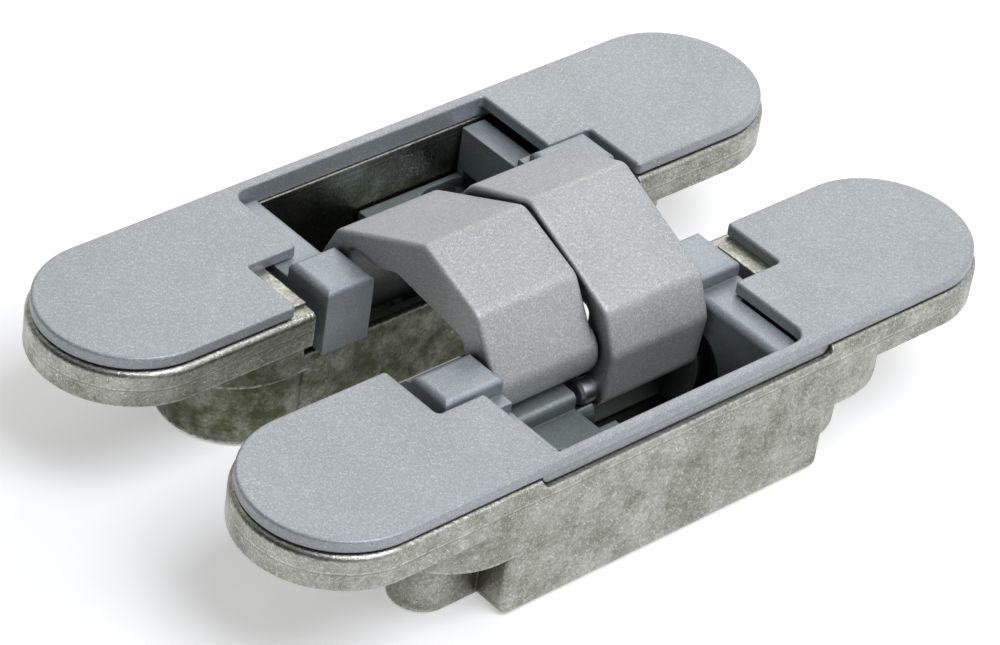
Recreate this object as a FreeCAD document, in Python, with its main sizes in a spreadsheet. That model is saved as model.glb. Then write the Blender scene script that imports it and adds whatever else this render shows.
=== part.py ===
"""Concealed door hinge, lying open at 180 degrees: two mortise leaves joined by a pair of crossed arms.

Frame: +X along the leaves, +Y towards the frame leaf, +Z up out of the mortises. The origin is under the
middle of the hinge, in the plane of the casing bottoms. Both leaves are alike: the frame leaf is the door
leaf turned half a turn about Z. Each piece of a leaf is described in the leaf's own terms: x along it,
out = distance from the joint line, drop = depth below the face of its cover.
"""
import FreeCAD, Part
import math
import os
import re
from types import SimpleNamespace

from FreeCAD import Placement, Rotation, Vector

# Driving dimensions, in millimetres and degrees
SIZES = {
    # leaves
    "leaf_length": 117.0,
    "leaf_width": 24.7,
    "leaf_pitch": 40.6,
    "body_depth": 22.0,
    # covers
    "cover_thickness": 1.6,
    "cover_edge": 0.4,
    "cover_corner": 0.6,
    "window_corner": 2.2,
    "notch_left": 28.6,
    "notch_right": 29.7,
    "notch_depth": 9.9,
    "window_left": 21.2,
    "window_right": 21.7,
    "rim_width": 1.5,
    "rim_height": 3.0,
    "rim_ease": 1.4,
    "peg_radius": 2.4,
    "peg_length": 6.0,
    # casings
    "flange_margin": 0.6,
    "flange_thickness": 5.2,
    "land_height": 0.4,
    "land_inset": 1.6,
    "lip_round": 0.9,
    "foot_round": 0.4,
    "house_left": 28.0,
    "house_right": 26.5,
    "house_near": 8.8,
    "peg_inset": 9.0,
    "house_far": 33.25,
    "house_round": 1.2,
    "stage_drop": 12.2,
    "stage_reach": 42.1,
    "boss_radius": 10.2,
    "boss_x": 29.2,
    "tongue_radius": 4.2,
    "tongue_x": 33.4,
    "tongue_out": 23.7,
    "boss_lift": 0.4,
    "wall": 1.3,
    "far_wall": 2.35,
    "sill_drop": 9.6,
    "peg_x": 36.0,
    "screw_inset": 7.5,
    "screw_hole_radius": 2.6,
    "screw_head_radius": 5.0,
    # carriers
    "carrier_half": 21.5,
    "carrier_far": 30.5,
    "height_travel": 1.5,
    "slide_gap": 0.3,
    "ear_left": 27.0,
    "ear_right": 25.0,
    "ear_round": 0.9,
    "left_ear_near": 11.0,
    "left_ear_far": 17.4,
    "left_ear_proud": 0.5,
    "right_ear_far": 15.3,
    "right_ear_proud": 0.3,
    "shoulder_drop": 2.0,
    "shoulder_round": 1.0,
    "shoulder_far": 19.4,
    "floor_drop": 10.9,
    "seat_drop": 8.7,
    "seat_far": 16.8,
    "pocket_near": 12.1,
    # linkage
    "fold_angle": 115.0,
    "pivot_out": 12.2,
    "pivot_drop": 4.4,
    "cross_rise": 5.2,
    "slide_out": 15.4,
    "slide_drop": 9.9,
    "arm_width": 16.8,
    "arm_gap": 0.8,
    "side_gap": 0.4,
    "arm_edge": 0.5,
    "hub_radius": 4.1,
    "hub_proud": 0.3,
    "knuckle_radius": 4.1,
    "tail_radius": 2.5,
    "ridge_rise": 9.4,
    "underside_rise": 2.4,
    "run_gap": 0.05,
    "seat_gap": 0.35,
    "pivot_pin_radius": 2.4,
    "pivot_bush_wall": 0.8,
    "cross_pin_radius": 1.9,
    "cross_bush_wall": 0.75,
    "washer_rim": 1.3,
    "slide_pin_radius": 1.7,
    "slide_pin_reach": 2.6,
    "blind_wall": 1.0,
    "pin_chamfer": 0.4,
    "track_gap": 0.25,
    # clamp screws
    "clamp_x": 14.2,
    "clamp_out": 25.5,
    "clamp_head_radius": 3.5,
    "clamp_head_height": 1.7,
    "clamp_shank_radius": 2.0,
    "clamp_washer_radius": 3.9,
    "clamp_washer_height": 0.5,
    "clamp_sink": 0.3,
    "clamp_post_radius": 3.8,
    "clamp_seat": 1.5,
    "socket_radius": 1.7,
    "socket_depth": 1.1,
}
size = SimpleNamespace(**SIZES)

doc = FreeCAD.newDocument("concealed_hinge")
sheet = doc.addObject("Spreadsheet::Sheet", "size")
for row, (alias, value) in enumerate(SIZES.items(), 1):
    sheet.set(f"A{row}", alias)
    sheet.set(f"B{row}", str(value))
    sheet.setAlias(f"B{row}", alias)
doc.recompute()

HALF_TURN = Placement(Vector(0, 0, 0), Rotation(Vector(0, 0, 1), 180))
ALONG_X = Rotation(Vector(0, 1, 0), 90)
SIDE_VIEW = Rotation(Vector(1, 1, 1), 120)
ARM_INNER = "arm_gap / 2"
ARM_OUTER = "(arm_gap / 2 + arm_width)"
EAR_INNER = "(arm_gap / 2 + arm_width + side_gap)"
CENTRE_OUT = "leaf_pitch / 2"
COVER_NEAR = "(leaf_pitch / 2 - leaf_width / 2)"
COVER_FAR = "(leaf_pitch / 2 + leaf_width / 2)"
PEG_OUT = "(house_near + peg_inset)"
SCREW_X = "(leaf_length / 2 - screw_inset)"
WASHER_DROP = "(floor_drop + clamp_sink + clamp_head_height + clamp_washer_height)"


def formula(text):
    """An expression in which each size is read from the sheet."""
    return re.sub(r"[a-z_]+", lambda word: "size." + word.group() if word.group() in SIZES else word.group(), text)


def bind(piece, formulas):
    for name, text in formulas.items():
        piece.setExpression(name, formula(text))
    return piece


def at(piece, x, out, drop):
    """Places a primitive: x along the leaf, out from the joint line, drop below the cover's face."""
    return bind(piece, {
        "Placement.Base.x": x,
        "Placement.Base.y": f"-({out})",
        "Placement.Base.z": f"body_depth - ({drop})",
    })


def block(name, x, out, drop):
    """A box between two values of x, out and drop each."""
    piece = doc.addObject("Part::Box", name)
    bind(piece, {
        "Length": f"({x[1]}) - ({x[0]})",
        "Width": f"({out[1]}) - ({out[0]})",
        "Height": f"({drop[1]}) - ({drop[0]})",
    })
    return at(piece, x[0], out[1], drop[1])


def rod(name, x, out, drop, radius):
    """A round bar along the leaf, between two values of x."""
    piece = doc.addObject("Part::Cylinder", name)
    piece.Placement = Placement(Vector(0, 0, 0), ALONG_X)
    bind(piece, {"Radius": radius, "Height": f"({x[1]}) - ({x[0]})"})
    return at(piece, x[0], out, drop)


def post(name, x, out, drop, radius):
    """An upright round bar between two values of drop."""
    piece = doc.addObject("Part::Cylinder", name)
    bind(piece, {"Radius": radius, "Height": f"({drop[1]}) - ({drop[0]})"})
    return at(piece, x, out, drop[1])


def cone(name, x, out, drop, radius):
    """An upright cone between two values of drop: its radius at the top, then at the bottom."""
    piece = doc.addObject("Part::Cone", name)
    bind(piece, {"Radius1": radius[1], "Radius2": radius[0], "Height": f"({drop[1]}) - ({drop[0]})"})
    return at(piece, x, out, drop[1])


def fuse(name, pieces):
    piece = doc.addObject("Part::MultiFuse", name)
    piece.Shapes = pieces
    piece.Refine = True
    return piece


def cut(name, base, tools):
    """Takes the tools out of a piece, one after another."""
    for tool in tools:
        piece = doc.addObject("Part::Cut", name + "_cut")
        piece.Base = base
        piece.Tool = tool
        base = piece
    return base


def slot(name, x, out, drop, radius, travel):
    """An upright obround along the leaf: a post that may move by travel to each side."""
    ends = [post(name + "_end", f"{x} + {sign} * ({travel})", out, drop, radius) for sign in (-1, 1)]
    middle = block(name + "_middle", (f"{x} - ({travel})", f"{x} + ({travel})"),
                   (f"{out} - ({radius})", f"{out} + ({radius})"), drop)
    return fuse(name, ends + [middle])


def soften(name, source, radius, chosen, kind="Part::Fillet"):
    """Rounds or chamfers the chosen edges of a piece by one radius."""
    doc.recompute()
    piece = doc.addObject(kind, name)
    piece.Base = source
    piece.Edges = [(i, radius, radius) for i, edge in enumerate(source.Shape.Edges, 1) if chosen(edge)]
    return piece


def at_height(z, edge):
    return all(abs(vertex.Z - z) < 1e-4 for vertex in edge.Vertexes) and abs(edge.CenterOfMass.z - z) < 1e-4


def upright(edge):
    return abs(edge.BoundBox.ZLength - edge.Length) < 1e-4


def belt(circles):
    """The closed line that wraps circles in turn, counter-clockwise round those of positive radius."""
    runs = []
    for (y0, z0, r0), (y1, z1, r1) in zip(circles, circles[1:] + circles[:1]):
        gap = math.hypot(y1 - y0, z1 - z0)
        heading = math.atan2(z1 - z0, y1 - y0) - math.asin((r1 - r0) / gap)
        side = Vector(math.sin(heading), -math.cos(heading), 0)
        runs.append((Vector(y0, z0, 0) + side * r0, Vector(y1, z1, 0) + side * r1, heading))
    edges = []
    for (start, end, heading), (after, _, turned), (y, z, r) in zip(
        runs, runs[1:] + runs[:1], circles[1:] + circles[:1]
    ):
        edges.append(Part.LineSegment(start, end))
        turn = (turned - heading) % (2 * math.pi) if r > 0 else -((heading - turned) % (2 * math.pi))
        middle = heading + turn / 2
        crown = Vector(y, z, 0) + Vector(math.sin(middle), -math.cos(middle), 0) * r
        edges.append(Part.Arc(end, crown, after))
    return edges


def rounded(corners):
    """A closed line through corners (x, y, radius), each rounded by its own radius."""
    edges, ends = [], []
    for (x0, y0, _), (x, y, r), (x1, y1, _) in zip(corners[-1:] + corners[:-1], corners, corners[1:] + corners[:1]):
        tip = Vector(x, y, 0)
        back = (Vector(x0, y0, 0) - tip).normalize()
        onward = (Vector(x1, y1, 0) - tip).normalize()
        half = back.getAngle(onward) / 2
        reach = r / math.tan(half)
        centre = tip + (back + onward).normalize() * (r / math.sin(half))
        ends.append((tip + back * reach, centre + (tip - centre).normalize() * r, tip + onward * reach))
    for (start, crown, end), (following, _, _) in zip(ends, ends[1:] + ends[:1]):
        edges.append(Part.Arc(start, crown, end))
        if (following - end).Length > 1e-6:
            edges.append(Part.LineSegment(end, following))
    return edges


def profile(name, edges, rotation, base, length):
    """A solid drawn out of an outline, starting at base along the outline's normal."""
    sketch = doc.addObject("Sketcher::SketchObject", name + "_outline")
    sketch.Placement = Placement(Vector(0, 0, 0), rotation)
    for edge in edges:
        sketch.addGeometry(edge, False)
    axis = "x" if rotation == SIDE_VIEW else "z"
    bind(sketch, {f"Placement.Base.{axis}": base})
    piece = doc.addObject("Part::Extrusion", name)
    piece.Base = sketch
    piece.DirMode = "Normal"
    piece.Solid = True
    return bind(piece, {"LengthFwd": length})


def obround(length, width):
    """Outline of a leaf's plate about its own centre line, in plan."""
    reach = length / 2 - width / 2
    y = -size.leaf_pitch / 2
    return belt([(-reach, y, width / 2), (reach, y, width / 2)])


finished = []


def node(piece, leaf, name):
    """Names a finished piece of a leaf and sets it on its side of the joint."""
    piece.Label = f"{leaf}_{name}" if leaf else name
    if leaf == "frame":
        piece.Placement = HALF_TURN
    finished.append(piece)


# The covers: painted plates that clip on the casings, each open round the arms as far as a thin rim
def cover(leaf):
    near = -(size.leaf_pitch - size.leaf_width) / 2
    far = near - size.leaf_width
    step = near - size.notch_depth
    inner = far + size.rim_width
    end = size.leaf_length / 2
    round_end = size.leaf_width / 2 - 1e-3
    edge = size.cover_corner
    outline = rounded([
        (-end, far, round_end), (end, far, round_end), (end, near, round_end),
        (size.notch_right, near, edge), (size.notch_right, step, edge),
        (size.window_right, step, edge), (size.window_right, inner, size.window_corner),
        (-size.window_left, inner, edge), (-size.window_left, step, edge),
        (-size.notch_left, step, edge), (-size.notch_left, near, edge),
        (-end, near, round_end),
    ])
    plate = profile(f"{leaf}_cover_plate", outline, Rotation(), "body_depth - cover_thickness", "cover_thickness")
    plate = soften(f"{leaf}_cover_eased", plate, size.cover_edge, lambda e: at_height(size.body_depth, e))
    skirt = block(f"{leaf}_cover_rim", ("-window_left - 3", "window_right + 3"),
                  (f"{COVER_FAR} - rim_width", f"{COVER_FAR} - cover_edge / 2"), ("cover_edge", "rim_height"))
    skirt = soften(f"{leaf}_cover_rim_eased", skirt, size.rim_ease - 0.1,
                   lambda e: at_height(size.body_depth - size.rim_height, e) and e.BoundBox.XLength < 1e-4)
    pegs = [post(f"{leaf}_cover_peg", f"{sign} * peg_x", PEG_OUT,
                 ("cover_thickness / 2", "cover_thickness + peg_length"), "peg_radius") for sign in (-1, 1)]
    node(fuse(f"{leaf}_cover_moulding", [plate, skirt] + pegs), leaf, "cover")


# The casings: raw zinc die castings, a lipped flange over a stepped body with a deep box, a boss and a tongue
def casing(leaf):
    margin = 2 * size.flange_margin
    flange = profile(f"{leaf}_flange", obround(size.leaf_length + margin, size.leaf_width + margin), Rotation(),
                     "body_depth - cover_thickness - land_height - flange_thickness", "flange_thickness")
    face = size.body_depth - size.cover_thickness - size.land_height
    flange = soften(f"{leaf}_flange_lip", flange, size.lip_round, lambda e: at_height(face, e))
    flange = soften(f"{leaf}_flange_foot", flange, size.foot_round,
                    lambda e: at_height(face - size.flange_thickness, e))
    inset = 2 * size.land_inset
    land = profile(f"{leaf}_land", obround(size.leaf_length - inset, size.leaf_width - inset), Rotation(),
                   "body_depth - cover_thickness - land_height - lip_round", "land_height + lip_round")
    house = block(f"{leaf}_house", ("-house_left", "house_right"), ("house_near", "house_far"),
                  ("rim_height + 0.2", "body_depth"))
    house = soften(f"{leaf}_house_eased", house, size.house_round,
                   lambda e: upright(e) or at_height(0, e))
    reach, near, far = size.stage_reach, -size.house_near, -size.house_far
    stage = profile(f"{leaf}_stage", rounded([(x, y, (near - far) / 2 - 1e-3) for x, y in (
        (-reach, far), (reach, far), (reach, near), (-reach, near))]), Rotation(), "body_depth - stage_drop",
        "stage_drop - rim_height - 1")
    deep = ("rim_height + 1", "body_depth - boss_lift")
    boss = post(f"{leaf}_boss", "boss_x", "house_near + boss_radius", deep, "boss_radius")
    tongue = slot(f"{leaf}_tongue", "-tongue_x / 2", "tongue_out", deep, "tongue_radius", "tongue_x / 2")
    travel = "height_travel + slide_gap"
    upper = block(f"{leaf}_upper_bay", (f"-ear_left - ({travel})", f"ear_right + {travel}"),
                  ("0", "shoulder_far + slide_gap"), ("-1", "sill_drop"))
    lower_upper = block(f"{leaf}_shoulder_bay", (f"-ear_left - ({travel})", f"ear_right + {travel}"),
                        ("house_near + wall", "shoulder_far + slide_gap"), ("-1", "floor_drop + slide_gap"))
    lower = block(f"{leaf}_lower_bay", (f"-carrier_half - ({travel})", f"carrier_half + {travel}"),
                  ("house_near + wall", "house_far - far_wall"), ("-1", "body_depth - wall"))
    rim_seat = block(f"{leaf}_rim_seat", ("-window_left - 3.3", "window_right + 3.3"),
                     (f"{COVER_FAR} - rim_width - 0.3", f"{COVER_FAR} + 2"), ("-1", "rim_height + 0.2"))
    rim_seat = soften(f"{leaf}_rim_seat_eased", rim_seat, size.rim_ease,
                      lambda e: at_height(size.body_depth - size.rim_height - 0.2, e) and e.BoundBox.XLength < 1e-4)
    holes = []
    for sign in (-1, 1):
        x = f"{sign} * {SCREW_X}"
        under = "cover_thickness + land_height + flange_thickness + 1"
        holes.append(post(f"{leaf}_screw_hole", x, CENTRE_OUT, ("0", under), "screw_hole_radius"))
        holes.append(cone(f"{leaf}_countersink", x, CENTRE_OUT,
                          ("cover_thickness - 0.01", "cover_thickness + screw_head_radius - screw_hole_radius"),
                          ("screw_head_radius", "screw_hole_radius - 0.01")))
        holes.append(post(f"{leaf}_peg_hole", f"{sign} * peg_x", PEG_OUT,
                          ("0", "cover_thickness + peg_length + 1"), "peg_radius + run_gap"))
    body = cut(f"{leaf}_casing_body", fuse(f"{leaf}_casting", [flange, land, house, stage, boss, tongue]),
               [upper, lower_upper, lower, rim_seat] + holes)
    clamp = post(f"{leaf}_clamp_post", "-clamp_x", "clamp_out",
                 (f"{WASHER_DROP} + clamp_seat + slide_gap", "body_depth - wall / 2"), "clamp_post_radius")
    thread = post(f"{leaf}_clamp_thread", "-clamp_x", "clamp_out",
                  ("0", "body_depth - wall / 2"), "clamp_shank_radius + 0.02")
    node(cut(f"{leaf}_casing", fuse(f"{leaf}_casing_posts", [body, clamp]), [thread]), leaf, "casing")


# The way of the other arm's slide pin through a leaf, worked out from the linkage
TRACK_STEPS = 12


def track(name, x, radius):
    """A channel along the leaf for a pin of this radius, over the whole fold of the arms."""
    fold = math.radians(size.fold_angle)
    pivot = complex(size.pivot_out, -size.pivot_drop)
    to_cross = complex(0, size.cross_rise) - pivot
    to_slide = complex(size.slide_out, -size.slide_drop) - complex(0, size.cross_rise)

    def where(t):
        own = complex(math.cos(fold * t), -math.sin(fold * t))
        other = complex(math.cos((math.pi - fold) * t), -math.sin((math.pi - fold) * t))
        return pivot + to_cross * own + to_slide * other

    spots = [where(i / TRACK_STEPS) for i in range(TRACK_STEPS + 1)]
    links = []
    for here, there in zip(spots, spots[1:]):
        link = belt([(-p.real, size.body_depth + p.imag, radius) for p in (here, there)])
        face = Part.Face(Part.Wire([edge.toShape() for edge in link]))
        face.Placement = Placement(Vector(x[0], 0, 0), SIDE_VIEW)
        links.append(face.extrude(Vector(x[1] - x[0], 0, 0)))
    piece = doc.addObject("Part::Feature", name)
    piece.Shape = links[0].multiFuse(links[1:]).removeSplitter()
    return piece


# The carriers: painted castings that slide along the casings and hold the arms between two ears
def carrier(leaf):
    left_ear = block(f"{leaf}_left_ear", ("-ear_left", f"-{EAR_INNER}"), ("left_ear_near", "left_ear_far"),
                     ("-left_ear_proud", "floor_drop"))
    left_ear = soften(f"{leaf}_left_ear_eased", left_ear, size.ear_round,
                      lambda e: at_height(size.body_depth + size.left_ear_proud, e))
    eye = rod(f"{leaf}_ear_eye", ("-ear_left", f"-{EAR_INNER}"), "pivot_out", "pivot_drop", "pivot_drop - 0.4")
    left_wall = block(f"{leaf}_left_shoulder", ("-ear_left", f"-{EAR_INNER}"),
                      ("pivot_out", "shoulder_far"), ("shoulder_drop", "floor_drop"))
    left_side = block(f"{leaf}_left_side", ("-carrier_half", f"-{EAR_INNER}"),
                      ("shoulder_far - 1", "carrier_far"), ("rim_height + 0.5", "floor_drop"))
    near = f"({COVER_NEAR} - flange_margin)"
    right_ear = block(f"{leaf}_right_ear", (EAR_INNER, "ear_right"), (near, "right_ear_far"),
                      ("-right_ear_proud", "sill_drop - slide_gap"))
    right_ear = soften(f"{leaf}_right_ear_eased", right_ear, size.ear_round,
                       lambda e: at_height(size.body_depth + size.right_ear_proud, e))
    right_wall = block(f"{leaf}_right_shoulder", (EAR_INNER, "ear_right"),
                       ("house_near + wall + slide_gap", "shoulder_far"), ("shoulder_drop", "floor_drop"))
    right_side = block(f"{leaf}_right_side", (EAR_INNER, "carrier_half"),
                       ("shoulder_far - 1", "carrier_far"), ("shoulder_drop", "floor_drop"))
    shoulder = size.body_depth - size.shoulder_drop
    ear_inner = size.arm_gap / 2 + size.arm_width + size.side_gap
    right_wall, right_side = (
        soften(f"{wall.Name}_eased", wall, size.shoulder_round,
               lambda e: at_height(shoulder, e) and abs(e.CenterOfMass.x - ear_inner) < 1e-4)
        for wall in (right_wall, right_side))
    inside = "house_near + wall + slide_gap"
    body = block(f"{leaf}_carrier_body", ("-carrier_half", "carrier_half"), (inside, "carrier_far"),
                 ("floor_drop", "body_depth - wall - slide_gap"))
    seat = block(f"{leaf}_knuckle_seat", (f"-{EAR_INNER} - 1", f"-{ARM_INNER}"), (inside, "seat_far"),
                 ("seat_drop", "floor_drop + 1"))
    seat_top = size.body_depth - size.seat_drop
    seat = soften(f"{leaf}_knuckle_seat_eased", seat, size.shoulder_round,
                  lambda e: at_height(seat_top, e) and abs(e.CenterOfMass.y + size.seat_far) < 1e-4)
    sides = [left_ear, eye, left_wall, left_side, right_ear, right_wall, right_side, body, seat]
    clamp = ("-clamp_x", "clamp_out")
    travel = "height_travel + slide_gap"
    tools = [
        rod(f"{leaf}_knuckle_trough", (f"-{EAR_INNER}", "0"), "pivot_out", "pivot_drop", "knuckle_radius + seat_gap"),
        block(f"{leaf}_tail_pocket", (f"-{ARM_INNER}", EAR_INNER), ("pocket_near", "carrier_far + 1"),
              ("-1", "body_depth + 1")),
        block(f"{leaf}_tail_mouth", (f"-{ARM_INNER}", EAR_INNER), ("0", "pocket_near + 1"), ("-1", "floor_drop")),
        rod(f"{leaf}_pin_hole", ("-ear_left - 1", f"-{EAR_INNER} + 1"), "pivot_out", "pivot_drop",
            "pivot_pin_radius + 0.02"),
        track(f"{leaf}_track", (-size.arm_gap / 2 - size.slide_pin_reach - size.track_gap,
                                size.arm_gap / 2 + size.arm_width + size.slide_pin_reach + size.track_gap),
              size.slide_pin_radius + size.track_gap),
        slot(f"{leaf}_head_recess", *clamp, ("floor_drop - 1", WASHER_DROP),
             "clamp_washer_radius + slide_gap", travel),
        slot(f"{leaf}_shank_slot", *clamp, ("floor_drop", "body_depth"), "clamp_shank_radius + slide_gap", travel),
        slot(f"{leaf}_post_slot", *clamp, (f"{WASHER_DROP} + clamp_seat", "body_depth"),
             "clamp_post_radius + slide_gap", travel),
    ]
    node(cut(f"{leaf}_carrier", fuse(f"{leaf}_carrier_casting", sides), tools), leaf, "carrier")


# The arms: painted castings, each turning in its own leaf and crossing over to slide in the other
def arm(leaf):
    top = size.body_depth
    knuckle = (-size.pivot_out, top - size.pivot_drop, size.knuckle_radius)
    under = top + size.underside_rise
    crotch = 1.5
    arch = 3.0
    tail_face = size.slide_out - size.tail_radius
    outline = belt([
        knuckle,
        (-size.pivot_out + size.knuckle_radius + 0.4, under - crotch - 1.6, -crotch),
        (3.8, under - arch, -arch),
        (7.8, under - 0.3, 1.0),
        (tail_face - 1.2, under - 2.5, -1.2),
        (size.slide_out, top - size.slide_drop, size.tail_radius),
        (size.slide_out + 1.0, top - size.slide_drop + 6.1, 2.0),
        (size.slide_out - 1.1, top + size.ridge_rise - 8.7, 2.0),
        (-0.2, top + size.ridge_rise - 2.2, 2.2),
        (-size.pivot_out + 3.0, top + size.ridge_rise - 5.8, 2.4),
    ])
    body = profile(f"{leaf}_arm_body", outline, SIDE_VIEW, f"-{ARM_OUTER}", "arm_width")
    body = soften(f"{leaf}_arm_eased", body, size.arm_edge, lambda e: e.BoundBox.XLength < 1e-4)
    bush = "pivot_pin_radius + run_gap + pivot_bush_wall + 0.02"
    cross = "cross_pin_radius + 0.02" if leaf == "frame" else "cross_pin_radius + run_gap + cross_bush_wall + 0.02"
    holes = [
        rod(f"{leaf}_bush_hole", (f"-{ARM_OUTER} - 1", f"-{ARM_INNER} - blind_wall"), "pivot_out", "pivot_drop", bush),
        rod(f"{leaf}_cross_hole", (f"-{ARM_OUTER} + blind_wall", "0"), "0", "-cross_rise", cross),
        rod(f"{leaf}_slide_hole", (f"-{ARM_OUTER} - 1", "0"), "-slide_out", "slide_drop", "slide_pin_radius + 0.02"),
    ]
    hub = rod(f"{leaf}_hub", (f"-{ARM_INNER} - blind_wall", f"hub_proud - {ARM_INNER}"), "pivot_out", "pivot_drop",
              "hub_radius")
    node(cut(f"{leaf}_arm", fuse(f"{leaf}_arm_casting", [body, hub]), holes), leaf, "arm")


def plain_pin(leaf, name, x, out, drop, radius):
    """A ground steel pin with chamfered ends."""
    bar = rod(f"{leaf}_{name}_bar", x, out, drop, radius)
    node(soften(f"{leaf}_{name}_eased", bar, size.pin_chamfer, lambda e: e.BoundBox.XLength < 1e-4, "Part::Chamfer"),
         leaf, name)


def ring(leaf, name, x, out, drop, radius, bore):
    """A bush or washer round a pin."""
    node(cut(f"{leaf}_{name}", rod(f"{leaf}_{name}_outer", x, out, drop, radius),
             [rod(f"{leaf}_{name}_bore", (f"{x[0]} - 1", f"{x[1]} + 1"), out, drop, bore)]), leaf, name)


# Pins, bushes and washers of one leaf's arm
def running_gear(leaf):
    pivot = ("pivot_out", "pivot_drop")
    plain_pin(leaf, "pivot_pin", ("-ear_left + 0.8", f"-{ARM_INNER} - blind_wall - 0.4"), *pivot, "pivot_pin_radius")
    ring(leaf, "pivot_bush", (f"-{ARM_OUTER} + 0.1", f"-{ARM_INNER} - blind_wall - 0.1"), *pivot,
         "pivot_pin_radius + run_gap + pivot_bush_wall", "pivot_pin_radius + run_gap")
    ring(leaf, "pivot_washer", (f"-{EAR_INNER} + 0.05", f"-{ARM_OUTER} - 0.05"), *pivot,
         "pivot_pin_radius + washer_rim", "pivot_pin_radius + 0.03")
    plain_pin(leaf, "slide_pin", (f"-{ARM_OUTER} - slide_pin_reach", f"{ARM_INNER} + slide_pin_reach - 0.8"),
              "-slide_out", "slide_drop", "slide_pin_radius")


# The pin that joins the arms, with its bush in the door arm and a washer between the arms
def crossing():
    cross = ("0", "-cross_rise")
    reach = f"({ARM_OUTER} - blind_wall - 0.2)"
    plain_pin("", "cross_pin", (f"-{reach}", reach), *cross, "cross_pin_radius")
    ring("", "cross_bush", (f"-{reach}", f"-{ARM_INNER} - 0.05"), *cross,
         "cross_pin_radius + run_gap + cross_bush_wall", "cross_pin_radius + run_gap")
    ring("", "cross_washer", ("-arm_gap / 2 + 0.05", "arm_gap / 2 - 0.05"), *cross,
         "cross_pin_radius + washer_rim", "cross_pin_radius + 0.03")


# The plated screw that clamps a carrier at its height, with its washer
def clamp_screw(leaf):
    spot = ("-clamp_x", "clamp_out")
    head_top = "(floor_drop + clamp_sink)"
    head_bottom = "(floor_drop + clamp_sink + clamp_head_height)"
    head = post(f"{leaf}_clamp_head", *spot, (head_top, head_bottom), "clamp_head_radius")
    head = soften(f"{leaf}_clamp_head_eased", head, size.pin_chamfer,
                  lambda e: at_height(size.body_depth - size.floor_drop - size.clamp_sink, e))
    shank = post(f"{leaf}_clamp_shank", *spot, (head_bottom, "body_depth - wall"), "clamp_shank_radius")
    socket = post(f"{leaf}_clamp_socket", *spot, (f"{head_top} - 1", f"{head_top} + socket_depth"), "socket_radius")
    node(cut(f"{leaf}_clamp_screw", fuse(f"{leaf}_clamp_blank", [head, shank]), [socket]), leaf, "clamp_screw")
    disc = post(f"{leaf}_clamp_disc", *spot, (head_bottom, WASHER_DROP), "clamp_washer_radius")
    bore = post(f"{leaf}_clamp_bore", *spot, (f"{head_bottom} - 1", f"{WASHER_DROP} + 1"),
                "clamp_shank_radius + 0.1")
    node(cut(f"{leaf}_clamp_washer", disc, [bore]), leaf, "clamp_washer")


for leaf in ("frame", "door"):
    casing(leaf)
    cover(leaf)
    carrier(leaf)
    arm(leaf)
    running_gear(leaf)
    clamp_screw(leaf)
crossing()
doc.recompute()

for thing in doc.Objects:
    if "Invalid" in thing.State or "Error" in thing.State:
        raise RuntimeError(f"{thing.Label} failed: {thing.State}")
for piece in finished:
    if piece.Shape.isNull() or not piece.Shape.isValid() or not piece.Shape.Solids:
        raise RuntimeError(f"{piece.Label} has no valid solid")

os.makedirs("parts", exist_ok=True)
for piece in finished:
    print(f"{piece.Label}: {len(piece.Shape.Solids)} solid, {piece.Shape.Volume:.1f} mm3")
    piece.Shape.exportStep(f"parts/{piece.Label}.step")
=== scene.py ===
import math

import bpy
from mathutils import Matrix, Vector

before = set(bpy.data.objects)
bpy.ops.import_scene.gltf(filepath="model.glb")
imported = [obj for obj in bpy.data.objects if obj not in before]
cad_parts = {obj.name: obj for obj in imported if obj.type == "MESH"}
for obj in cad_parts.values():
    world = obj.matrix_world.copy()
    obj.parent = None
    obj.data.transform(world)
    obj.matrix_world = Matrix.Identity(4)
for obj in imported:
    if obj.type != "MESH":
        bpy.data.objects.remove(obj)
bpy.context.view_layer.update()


# Casings
# The two shells that are let into the frame and the door. They are die cast in zinc and left as
# cast, a dull warm grey with cloudy flow marks. Painted shade makes them darker and browner in
# their hollows and under the flange. The halves of the die leave a fine line round the flange.
leaves = ("frame", "door")
mm = 0.001


def linear(shade):
    """The linear colour that a shader takes, from a hex colour as it is seen."""
    channels = [int(shade[i : i + 2], 16) / 255 for i in (1, 3, 5)]
    return (*(c / 12.92 if c <= 0.04045 else ((c + 0.055) / 1.055) ** 2.4 for c in channels), 1)


def add(tree, kind, settings=None, links=None):
    """Adds a node of that kind, with its settings and what feeds each of its inputs."""
    made = tree.nodes.new("ShaderNode" + kind)
    for name, value in (settings or {}).items():
        if isinstance(name, str) and hasattr(made, name):
            setattr(made, name, value)
        else:
            made.inputs[name].default_value = value
    for name, source in (links or {}).items():
        tree.links.new(source, made.inputs[name])
    return made


def start_finish(name):
    """A new material with its node tree, its shader and the place on the part in metres."""
    made = bpy.data.materials.new(name)
    made.use_nodes = True
    shader = made.node_tree.nodes["Principled BSDF"]
    place = add(made.node_tree, "TexCoord").outputs["Object"]
    return made, made.node_tree, shader, place


def give_finish(part, finish):
    """Gives a part of the hinge its finish."""
    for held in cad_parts[part].material_slots:
        held.material = finish


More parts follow.
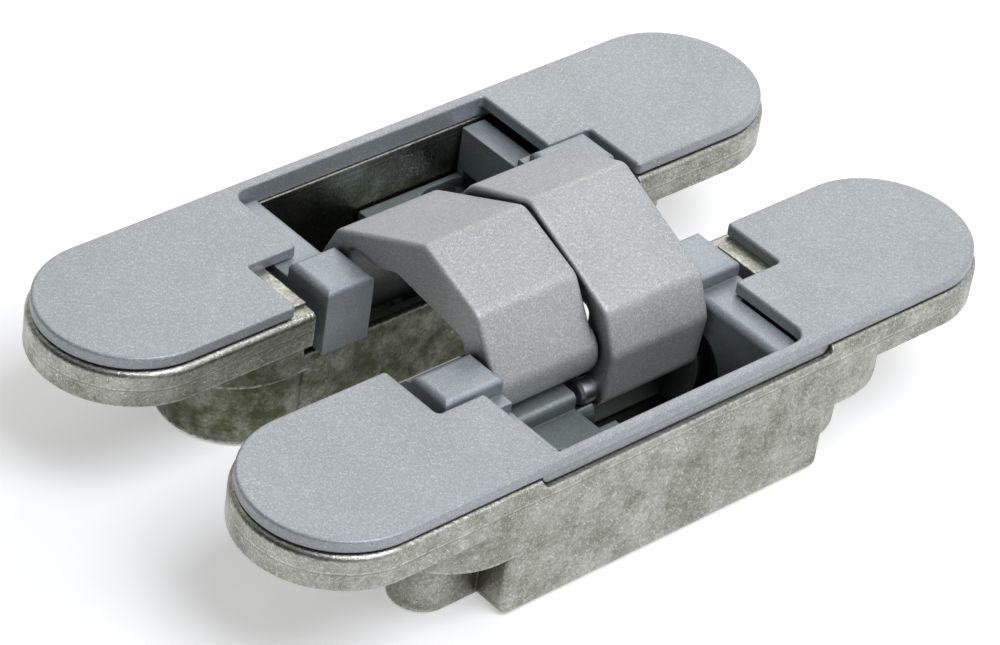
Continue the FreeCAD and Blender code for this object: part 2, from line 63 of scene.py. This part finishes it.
def cast_zinc(name, shade_below):
    """Raw die cast zinc, with that much painted shade on the body below the flange."""
    made, tree, shader, place = start_finish(name)
    cloud_size, grit_size, stain_size = 4 * mm, 0.5 * mm, 9 * mm
    cloud = add(
        tree, "TexNoise",
        {"Scale": 1 / cloud_size, "Detail": 5, "Roughness": 0.6},
        {"Vector": place},
    )
    grit = add(
        tree, "TexNoise",
        {"Scale": 1 / grit_size, "Detail": 3, "Roughness": 0.65},
        {"Vector": place},
    )
    skin = add(tree, "ValToRGB", {}, {0: cloud.outputs["Fac"]})
    dull, bright = skin.color_ramp.elements
    dull.position, dull.color = 0.3, linear("#87887C")
    bright.position, bright.color = 0.7, linear("#AEAFA6")
    blot = add(tree, "TexNoise", {"Scale": 1 / stain_size, "Detail": 4}, {"Vector": place})
    stain = add(
        tree, "MapRange",
        {"From Min": 0.5, "From Max": 0.7, "To Min": 0, "To Max": 0.2},
        {0: blot.outputs["Fac"]},
    )
    stained = add(
        tree, "Mix",
        {"data_type": "RGBA", 7: linear("#6B6A48")},
        {0: stain.outputs[0], 6: skin.outputs[0]},
    )
    dirt = add(
        tree, "MapRange",
        {"From Min": 0.46, "From Max": 0.3, "To Min": 0, "To Max": 0.42},
        {0: grit.outputs["Fac"]},
    )
    gritty = add(
        tree, "Mix",
        {"data_type": "RGBA", 7: linear("#55543F")},
        {0: dirt.outputs[0], 6: stained.outputs[2]},
    )
    glint = add(
        tree, "MapRange",
        {"From Min": 0.56, "From Max": 0.7, "To Min": 0, "To Max": 0.38},
        {0: grit.outputs["Fac"]},
    )
    colour = add(
        tree, "Mix",
        {"data_type": "RGBA", 7: linear("#DEDED8")},
        {0: glint.outputs[0], 6: gritty.outputs[2]},
    )

    # A scratch is 0.03 mm wide. It is drawn at about 0.12 mm, the least that shows.
    scratch_width = 0.12 * mm
    for turn, tilt, scratch_length in (
        (0.2, 0.9, 5.0 * mm),
        (-0.4, -0.5, 7.0 * mm),
        (1.2, 2.2, 4.0 * mm),
    ):
        turned = add(
            tree, "Mapping",
            {
                "vector_type": "TEXTURE",
                "Rotation": (0, tilt, turn),
                "Scale": (scratch_length, scratch_width, scratch_width),
            },
            {"Vector": place},
        )
        line = add(tree, "TexNoise", {"Scale": 1, "Detail": 0}, {"Vector": turned.outputs[0]})
        cutting = add(
            tree, "MapRange",
            {"From Min": 0.72, "From Max": 0.79, "To Min": 0, "To Max": 0.65},
            {0: line.outputs["Fac"]},
        )
        colour = add(
            tree, "Mix",
            {"data_type": "RGBA", 7: linear("#E4E4DF")},
            {0: cutting.outputs[0], 6: colour.outputs[2]},
        )

    # Corners are rubbed bright in patches.
    rubbed_reach = 0.5 * mm
    inside = add(
        tree, "AmbientOcclusion",
        {"samples": 4, "inside": True, "only_local": True, "Distance": rubbed_reach},
    )
    corner = add(
        tree, "MapRange",
        {"From Min": 0.92, "From Max": 0.6, "To Min": 0, "To Max": 0.85},
        {0: inside.outputs["AO"]},
    )
    patchy = add(
        tree, "MapRange",
        {"From Min": 0.4, "From Max": 0.6, "To Min": 0.25, "To Max": 1},
        {0: grit.outputs["Fac"]},
    )
    wear = add(
        tree, "Math", {"operation": "MULTIPLY"}, {0: corner.outputs[0], 1: patchy.outputs[0]}
    )

    # Painted shade starts at the flange's underside and is full lower down, and the hollows get
    # more painted shade.
    flange_underside, shade_full, hollow_shade_reach = 16.6 * mm, 12 * mm, 12 * mm
    height = add(tree, "SeparateXYZ", {}, {0: place})
    under = add(
        tree, "MapRange",
        {"From Min": flange_underside, "From Max": shade_full, "To Min": 0, "To Max": shade_below},
        {0: height.outputs["Z"]},
    )
    mottled = add(
        tree, "MapRange",
        {"From Min": 0.62, "From Max": 0.38, "To Min": 0.55, "To Max": 1},
        {0: cloud.outputs["Fac"]},
    )
    lower_shade = add(
        tree, "Math", {"operation": "MULTIPLY"}, {0: under.outputs[0], 1: mottled.outputs[0]}
    )
    colour = add(
        tree, "Mix",
        {"data_type": "RGBA", 7: linear("#42472A")},
        {0: lower_shade.outputs[0], 6: colour.outputs[2]},
    )
    colour = add(
        tree, "Mix",
        {"data_type": "RGBA", 7: linear("#DCDCD5")},
        {0: wear.outputs[0], 6: colour.outputs[2]},
    )
    # Painted shade: the shell's hollows are darkened to a deep brown.
    hollow_shade = add(
        tree, "AmbientOcclusion", {"samples": 6, "only_local": True, "Distance": hollow_shade_reach}
    )
    deep_shade = add(
        tree, "MapRange",
        {"From Min": 0.95, "From Max": 0.35, "To Min": 0, "To Max": 0.9},
        {0: hollow_shade.outputs["AO"]},
    )
    colour = add(
        tree, "Mix",
        {"data_type": "RGBA", 7: linear("#33301C")},
        {0: deep_shade.outputs[0], 6: colour.outputs[2]},
    )

    # The die halves met 4.4 mm below the cover's face. The fin was rubbed off and left a bright
    # line over a dark one, both a little wavy.
    parting, line_gap, wave = 17.6 * mm, 0.22 * mm, 0.1 * mm
    line_end, line_core = 0.14 * mm, 0.04 * mm
    waver = add(
        tree, "MapRange",
        {"From Min": 0.3, "From Max": 0.7, "To Min": -wave, "To Max": wave},
        {0: cloud.outputs["Fac"]},
    )
    off_line = add(
        tree, "Math", {"operation": "SUBTRACT", 1: parting}, {0: height.outputs["Z"]}
    )
    off_line = add(
        tree, "Math", {"operation": "ADD"}, {0: off_line.outputs[0], 1: waver.outputs[0]}
    )
    below = add(tree, "Math", {"operation": "ADD", 1: line_gap}, {0: off_line.outputs[0]})
    for offset, shade, strength in ((off_line, "#E6E6E0", 0.4), (below, "#4E4D44", 0.5)):
        apart = add(tree, "Math", {"operation": "ABSOLUTE"}, {0: offset.outputs[0]})
        fin = add(
            tree, "MapRange",
            {"From Min": line_end, "From Max": line_core, "To Min": 0, "To Max": strength},
            {0: apart.outputs[0]},
        )
        kept = add(
            tree, "Math", {"operation": "MULTIPLY"}, {0: fin.outputs[0], 1: patchy.outputs[0]}
        )
        colour = add(
            tree, "Mix",
            {"data_type": "RGBA", 7: linear(shade)},
            {0: kept.outputs[0], 6: colour.outputs[2]},
        )

    rough = add(
        tree, "MapRange",
        {"From Min": 0.35, "From Max": 0.65, "To Min": 0.42, "To Max": 0.26},
        {0: cloud.outputs["Fac"]},
    )
    corner_radius, cloud_depth, pit_depth = 0.35 * mm, 0.18 * mm, 0.1 * mm
    round_off = add(tree, "Bevel", {"samples": 4, "Radius": corner_radius})
    uneven = add(
        tree, "Bump",
        {"Strength": 0.5, "Distance": cloud_depth},
        {"Height": cloud.outputs["Fac"], "Normal": round_off.outputs[0]},
    )
    pitted = add(
        tree, "Bump",
        {"Strength": 0.6, "Distance": pit_depth},
        {"Height": grit.outputs["Fac"], "Normal": uneven.outputs[0]},
    )
    shader.inputs["Metallic"].default_value = 1
    tree.links.new(colour.outputs[2], shader.inputs["Base Color"])
    tree.links.new(rough.outputs[0], shader.inputs["Roughness"])
    tree.links.new(pitted.outputs[0], shader.inputs["Normal"])
    return made


# Zinc alloy, pressure die cast: a full metal with a skin half way between dull and satin. The cold
# skin clouds it over a few millimetres, the die's worn face gives a grit of half of one, and
# handling leaves fine straight scratches. The frame's shell has much more painted shade below its
# flange than the door's.
give_finish("frame_casing", cast_zinc("zinc_as_cast_shaded_below", shade_below=0.9))
give_finish("door_casing", cast_zinc("zinc_as_cast", shade_below=0.1))


# Covers
# Thin cast covers that clip over each leaf and hide its screws. They are stove enamelled in a
# silver lacquer: a pale blue grey with aluminium flake in it, whose sparkle is painted as fine
# pale and dark points.


def silver_lacquer(name, low, high, painted_sparkle, edge_thinning_and_highlight, hollow_shade, reach, radius, alone=True):
    """Silver lacquer on cast metal, between the shades low and high, with corners of that radius.

    It has painted shade in hollows up to reach wide, those of the piece alone, or also those that
    its neighbours make with it. The flake's painted glints and painted shade are as strong as
    grain, and edge_thinning_and_highlight is how much paler the corners are, partly a thinner coat
    and partly a painted highlight."""
    made, tree, shader, place = start_finish(name)
    tone_size, peel_size, peel_depth = 12 * mm, 0.8 * mm, 0.05 * mm
    tone = add(tree, "TexNoise", {"Scale": 1 / tone_size, "Detail": 3}, {"Vector": place})
    body = add(tree, "ValToRGB", {}, {0: tone.outputs["Fac"]})
    dark, pale = body.color_ramp.elements
    dark.position, dark.color = 0.35, linear(low)
    pale.position, pale.color = 0.65, linear(high)

    # Real flake is about 0.03 mm across. It is drawn at 0.14 mm, the least that shows.
    flake_size = 0.14 * mm
    flake = add(tree, "TexVoronoi", {"Scale": 1 / flake_size}, {"Vector": place})
    pick = add(tree, "SeparateColor", {}, {0: flake.outputs["Color"]})
    # Painted glints and painted shade: some flake cells picked at random are drawn dark, as if
    # turned from the light, and others pale, as if turned to it.
    flake_shade = add(
        tree, "MapRange",
        {"From Min": 0, "From Max": 0.6, "To Min": painted_sparkle, "To Max": 0},
        {0: pick.outputs["Green"]},
    )
    dull = add(
        tree, "Mix",
        {"data_type": "RGBA", 7: linear("#5E6468")},
        {0: flake_shade.outputs[0], 6: body.outputs[0]},
    )
    flake_glint = add(
        tree, "MapRange",
        {"From Min": 0.7, "From Max": 1, "To Min": 0, "To Max": 1.6 * painted_sparkle},
        {0: pick.outputs["Red"]},
    )
    flaked = add(
        tree, "Mix",
        {"data_type": "RGBA", 7: linear("#F4F6F8")},
        {0: flake_glint.outputs[0], 6: dull.outputs[2]},
    )

    # A corner is where the rounded surface leaves the flat one.
    round_off = add(tree, "Bevel", {"samples": 6, "Radius": radius})
    flat = add(tree, "NewGeometry")
    bent = add(
        tree, "VectorMath",
        {"operation": "DOT_PRODUCT"},
        {0: round_off.outputs[0], 1: flat.outputs["Normal"]},
    )
    # There the colour turns paler, partly a thinner coat and partly a painted highlight.
    edge_paling = add(
        tree, "MapRange",
        {"From Min": 0.99, "From Max": 0.9, "To Min": 0, "To Max": edge_thinning_and_highlight},
        {0: bent.outputs["Value"]},
    )
    edged = add(
        tree, "Mix",
        {"data_type": "RGBA", 7: linear("#DADCDE")},
        {0: edge_paling.outputs[0], 6: flaked.outputs[2]},
    )
    # Painted shade: the lacquer is darkened in hollows.
    around = add(
        tree, "AmbientOcclusion", {"samples": 8, "only_local": alone, "Distance": reach}
    )
    deep_shade = add(
        tree, "MapRange",
        {"From Min": 0.95, "From Max": 0.3, "To Min": 0, "To Max": 0.9},
        {0: around.outputs["AO"]},
    )
    shaded = add(
        tree, "Mix",
        {"data_type": "RGBA", 7: linear(hollow_shade)},
        {0: deep_shade.outputs[0], 6: edged.outputs[2]},
    )
    peel = add(tree, "TexNoise", {"Scale": 1 / peel_size, "Detail": 2}, {"Vector": place})
    rough = add(
        tree, "MapRange",
        {"From Min": 0.3, "From Max": 0.7, "To Min": 0.42, "To Max": 0.48},
        {0: peel.outputs["Fac"]},
    )
    orange_peel = add(
        tree, "Bump",
        {"Strength": 0.2, "Distance": peel_depth},
        {"Height": peel.outputs["Fac"], "Normal": round_off.outputs[0]},
    )
    shader.inputs["Metallic"].default_value = 0.35
    shader.inputs["Coat Weight"].default_value = 0.2
    shader.inputs["Coat Roughness"].default_value = 0.3
    tree.links.new(shaded.outputs[2], shader.inputs["Base Color"])
    tree.links.new(rough.outputs[0], shader.inputs["Roughness"])
    tree.links.new(orange_peel.outputs[0], shader.inputs["Normal"])
    return made


cover_paint = silver_lacquer(
    "silver_lacquer_on_cover", "#A5ABAE", "#ABB1B4",
    painted_sparkle=0.24, edge_thinning_and_highlight=0.3, hollow_shade="#3C4145", reach=2 * mm, radius=0.3 * mm,
)
for leaf in leaves:
    give_finish(leaf + "_cover", cover_paint)


# Carriers
# The castings that slide in the casings and hold the arms' fixed ends. They have the same lacquer,
# darker and greener towards their floor, and painted shade darkens the pockets nearly to black.
carrier_paint = silver_lacquer(
    "silver_lacquer_on_carrier", "#9FA8AC", "#A9B2B6",
    painted_sparkle=0.18, edge_thinning_and_highlight=0.12, hollow_shade="#3C433F", reach=8 * mm, radius=0.4 * mm,
)
tree = carrier_paint.node_tree
shader = tree.nodes["Principled BSDF"]
lacquer = shader.inputs["Base Color"].links[0].from_socket
tint_top, tint_full = 17 * mm, 12 * mm
pocket_shade_top, pocket_shade_full, pocket_width = 11 * mm, 8 * mm, 16 * mm
level = add(tree, "SeparateXYZ", {}, {0: add(tree, "TexCoord").outputs["Object"]})
# Darker and greener towards the floor.
toward_floor = add(
    tree, "MapRange",
    {"From Min": tint_top, "From Max": tint_full, "To Min": 0, "To Max": 0.85},
    {0: level.outputs["Z"]},
)
lower_tinted = add(
    tree, "Mix",
    {"data_type": "RGBA", "blend_type": "MULTIPLY", 7: linear("#C9CFC4")},
    {0: toward_floor.outputs[0], 6: lacquer},
)
# Painted shade: low in the pockets the lacquer is darkened nearly to black.
pocket = add(
    tree, "AmbientOcclusion", {"samples": 6, "only_local": True, "Distance": pocket_width}
)
shut_in = add(
    tree, "MapRange",
    {"From Min": 0.85, "From Max": 0.45, "To Min": 0, "To Max": 0.95},
    {0: pocket.outputs["AO"]},
)
under_floor = add(
    tree, "MapRange",
    {"From Min": pocket_shade_top, "From Max": pocket_shade_full, "To Min": 0, "To Max": 1},
    {0: level.outputs["Z"]},
)
pocket_shade = add(
    tree, "Math", {"operation": "MULTIPLY"}, {0: shut_in.outputs[0], 1: under_floor.outputs[0]}
)
pocket_shaded = add(
    tree, "Mix",
    {"data_type": "RGBA", 7: linear("#141613")},
    {0: pocket_shade.outputs[0], 6: lower_tinted.outputs[2]},
)
tree.links.new(pocket_shaded.outputs[2], shader.inputs["Base Color"])
for leaf in leaves:
    give_finish(leaf + "_carrier", carrier_paint)


# Arms
# The two crossed arms, cast in zinc and lacquered in the same silver, with more flake in it. Their
# long edges are rounded, and each one shows as a fine pale line, partly a thinner coat and partly
# a painted highlight.
# Painted shade also darkens the arms where their neighbours close round them.
arm_paint = silver_lacquer(
    "silver_lacquer_on_arm", "#B5B7B6", "#BEC0BF",
    painted_sparkle=0.3, edge_thinning_and_highlight=0.2, hollow_shade="#202423", reach=3 * mm, radius=1.0 * mm, alone=False,
)
for leaf in leaves:
    give_finish(leaf + "_arm", arm_paint)


# Pins
# Ground steel pins: one across each fixed end, one at the crossing, and one in each tail that
# runs in the tracks. Grinding round the pin leaves fine rings and a soft satin shine.
ground_steel, tree, shader, place = start_finish("ground_steel")
# The rings of a real grind are about 0.01 mm apart. They are drawn at 0.12 mm, so that they show.
ring_pitch, ring_run, ring_depth, haze_size = 0.12 * mm, 4 * mm, 0.02 * mm, 1.5 * mm
along = add(
    tree, "Mapping", {"Scale": (1 / ring_pitch, 1 / ring_run, 1 / ring_run)}, {"Vector": place}
)
ring = add(tree, "TexNoise", {"Scale": 1, "Detail": 2}, {"Vector": along.outputs[0]})
haze = add(tree, "TexNoise", {"Scale": 1 / haze_size, "Detail": 3}, {"Vector": place})
tint = add(tree, "ValToRGB", {}, {0: haze.outputs["Fac"]})
grey, silver = tint.color_ramp.elements
grey.position, grey.color = 0.35, linear("#A6AAAE")
silver.position, silver.color = 0.7, linear("#D0D3D6")
rough = add(
    tree, "MapRange",
    {"From Min": 0.3, "From Max": 0.7, "To Min": 0.3, "To Max": 0.44},
    {0: ring.outputs["Fac"]},
)
rings = add(
    tree, "Bump", {"Strength": 0.15, "Distance": ring_depth}, {"Height": ring.outputs["Fac"]}
)
shader.inputs["Metallic"].default_value = 1
tree.links.new(tint.outputs[0], shader.inputs["Base Color"])
tree.links.new(rough.outputs[0], shader.inputs["Roughness"])
tree.links.new(rings.outputs[0], shader.inputs["Normal"])
give_finish("cross_pin", ground_steel)
for leaf in leaves:
    give_finish(leaf + "_pivot_pin", ground_steel)
    give_finish(leaf + "_slide_pin", ground_steel)


# Bushes and washers
# Moulded black acetal that lets the pins turn without grease. It has a waxy dark grey look, a
# little paler along the flow lines of the moulding.
acetal, tree, shader, place = start_finish("acetal_moulded")
flow_size = 2.5 * mm
flow = add(
    tree, "TexNoise",
    {"Scale": 1 / flow_size, "Detail": 3, "Distortion": 0.8},
    {"Vector": place},
)
wax = add(tree, "ValToRGB", {}, {0: flow.outputs["Fac"]})
dark, pale = wax.color_ramp.elements
dark.position, dark.color = 0.3, linear("#26282A")
pale.position, pale.color = 0.7, linear("#393B3D")
rough = add(
    tree, "MapRange",
    {"From Min": 0.3, "From Max": 0.7, "To Min": 0.38, "To Max": 0.5},
    {0: flow.outputs["Fac"]},
)
shader.inputs["IOR"].default_value = 1.48
tree.links.new(wax.outputs[0], shader.inputs["Base Color"])
tree.links.new(rough.outputs[0], shader.inputs["Roughness"])
for pivot in ("cross", "frame_pivot", "door_pivot"):
    give_finish(pivot + "_bush", acetal)
    give_finish(pivot + "_washer", acetal)


# Clamp screws and their washers
# The screws that hold the height once it is set. Their steel is zinc plated bright, which gives a
# cool, nearly mirror shine, with a cloudy bloom where the plating has begun to dull.
plated_steel, tree, shader, place = start_finish("bright_zinc_plate")
bloom_size = 4 * mm
bloom = add(tree, "TexNoise", {"Scale": 1 / bloom_size, "Detail": 3}, {"Vector": place})
plate = add(tree, "ValToRGB", {}, {0: bloom.outputs["Fac"]})
clouded, clear = plate.color_ramp.elements
clouded.position, clouded.color = 0.35, linear("#BCC4CD")
clear.position, clear.color = 0.7, linear("#DCE1E6")
rough = add(
    tree, "MapRange",
    {"From Min": 0.3, "From Max": 0.7, "To Min": 0.12, "To Max": 0.26},
    {0: bloom.outputs["Fac"]},
)
shader.inputs["Metallic"].default_value = 1
tree.links.new(plate.outputs[0], shader.inputs["Base Color"])
tree.links.new(rough.outputs[0], shader.inputs["Roughness"])
for leaf in leaves:
    give_finish(leaf + "_clamp_screw", plated_steel)
    give_finish(leaf + "_clamp_washer", plated_steel)


# Floor
# A white paper sweep, wide enough to fill the picture and every reflection of it. It glows for
# the camera and for mirrored light alone, so it is white and still keeps the hinge's shadow.
sweep_width, fibre_size, paper_glow = 3.0, 3 * mm, 0.42
sheet = bpy.data.meshes.new("paper")
corners = ((-1, -1), (1, -1), (1, 1), (-1, 1))
sheet.from_pydata(
    [(x * sweep_width / 2, y * sweep_width / 2, 0) for x, y in corners], [], [(0, 1, 2, 3)]
)
floor = bpy.data.objects.new("paper_floor", sheet)
bpy.context.scene.collection.objects.link(floor)
paper, tree, shader, place = start_finish("white_paper")
fibre = add(tree, "TexNoise", {"Scale": 1 / fibre_size, "Detail": 3}, {"Vector": place})
white = add(tree, "ValToRGB", {}, {0: fibre.outputs["Fac"]})
for stop, shade in zip(white.color_ramp.elements, ("#EDEDED", "#F2F2F2")):
    stop.color = linear(shade)
shader.inputs["Roughness"].default_value = 0.9
tree.links.new(white.outputs[0], shader.inputs["Base Color"])
seen = add(tree, "LightPath")
direct = add(
    tree, "Math",
    {"operation": "MAXIMUM"},
    {0: seen.outputs["Is Camera Ray"], 1: seen.outputs["Is Glossy Ray"]},
)
glow = add(tree, "Emission", {"Color": linear("#FFFFFF")})
lift = add(tree, "Math", {"operation": "MULTIPLY", 1: paper_glow}, {0: direct.outputs[0]})
tree.links.new(lift.outputs[0], glow.inputs["Strength"])
both = add(tree, "AddShader", {}, {0: shader.outputs[0], 1: glow.outputs[0]})
tree.links.new(both.outputs[0], tree.nodes["Material Output"].inputs["Surface"])
floor.data.materials.append(paper)


# Light
# A big soft box over the front, cool as a window is, a weaker one at the back right, and a pale
# room that is dark on the left.
aim = Vector((0, 0, 15 * mm))
for name, spot, size, watts, shade in (
    ("soft_box", (0.15, -0.60, 1.25), 0.80, 12.0, "#F5F7FF"),
    ("back_box", (0.62, 0.60, 0.68), 0.50, 1.0, "#FFFDF8"),
):
    box = bpy.data.lights.new(name, "AREA")
    box.shape, box.size, box.energy, box.color = "SQUARE", size, watts, linear(shade)[:3]
    lamp = bpy.data.objects.new(name, box)
    lamp.location = spot
    lamp.rotation_mode = "QUATERNION"
    lamp.rotation_quaternion = (aim - lamp.location).to_track_quat("-Z", "Y")
    bpy.context.scene.collection.objects.link(lamp)

room = bpy.data.worlds.new("pale_room")
room.use_nodes = True
bpy.context.scene.world = room
room_fill = 0.42
tree = room.node_tree
seen = add(tree, "LightPath")
way = add(tree, "TexCoord").outputs["Generated"]
across = add(tree, "SeparateXYZ", {}, {0: way})
shine = add(
    tree, "MapRange",
    {"From Min": -0.7, "From Max": 0.5, "To Min": 0.06, "To Max": 1.0},
    {0: across.outputs["X"]},
)
lit = add(tree, "Math", {"operation": "MULTIPLY", 1: room_fill}, {0: shine.outputs[0]})
mirrored = add(
    tree, "Mix", {}, {0: seen.outputs["Is Glossy Ray"], 2: lit.outputs[0], 3: shine.outputs[0]}
)
level = add(
    tree, "Math",
    {"operation": "MAXIMUM"},
    {0: mirrored.outputs[0], 1: seen.outputs["Is Camera Ray"]},
)
wall = tree.nodes["Background"]
wall.inputs["Color"].default_value = linear("#FFFFFF")
tree.links.new(level.outputs[0], wall.inputs["Strength"])


# Camera
# A long lens, 52 cm off, looking down on the door leaf from the front left, held a little askew.
azimuth, elevation, roll = (math.radians(a) for a in (-46.4483, 36.6353, 8.7654))
aside, below_centre, distance = -2.211, -7.5, 521.4  # in mm
back = Vector(
    (
        math.sin(azimuth) * math.cos(elevation),
        -math.cos(azimuth) * math.cos(elevation),
        math.sin(elevation),
    )
)
level_right = Vector((math.cos(azimuth), math.sin(azimuth), 0))
level_up = back.cross(level_right)
right = level_right * math.cos(roll) + level_up * math.sin(roll)
up = level_up * math.cos(roll) - level_right * math.sin(roll)
lens = bpy.data.cameras.new("camera")
lens.sensor_width = 36
lens.lens = 147.7
lens.clip_start, lens.clip_end = 0.01, 10
camera = bpy.data.objects.new("camera", lens)
cover_top = Vector((0, 0, 22 * mm))
camera.matrix_world = Matrix.Translation(
    cover_top + right * aside * mm + up * below_centre * mm + back * distance * mm
) @ Matrix((right, up, back)).transposed().to_4x4()
bpy.context.scene.collection.objects.link(camera)
bpy.context.scene.camera = camera
bpy.context.scene.view_settings.view_transform = "Standard"
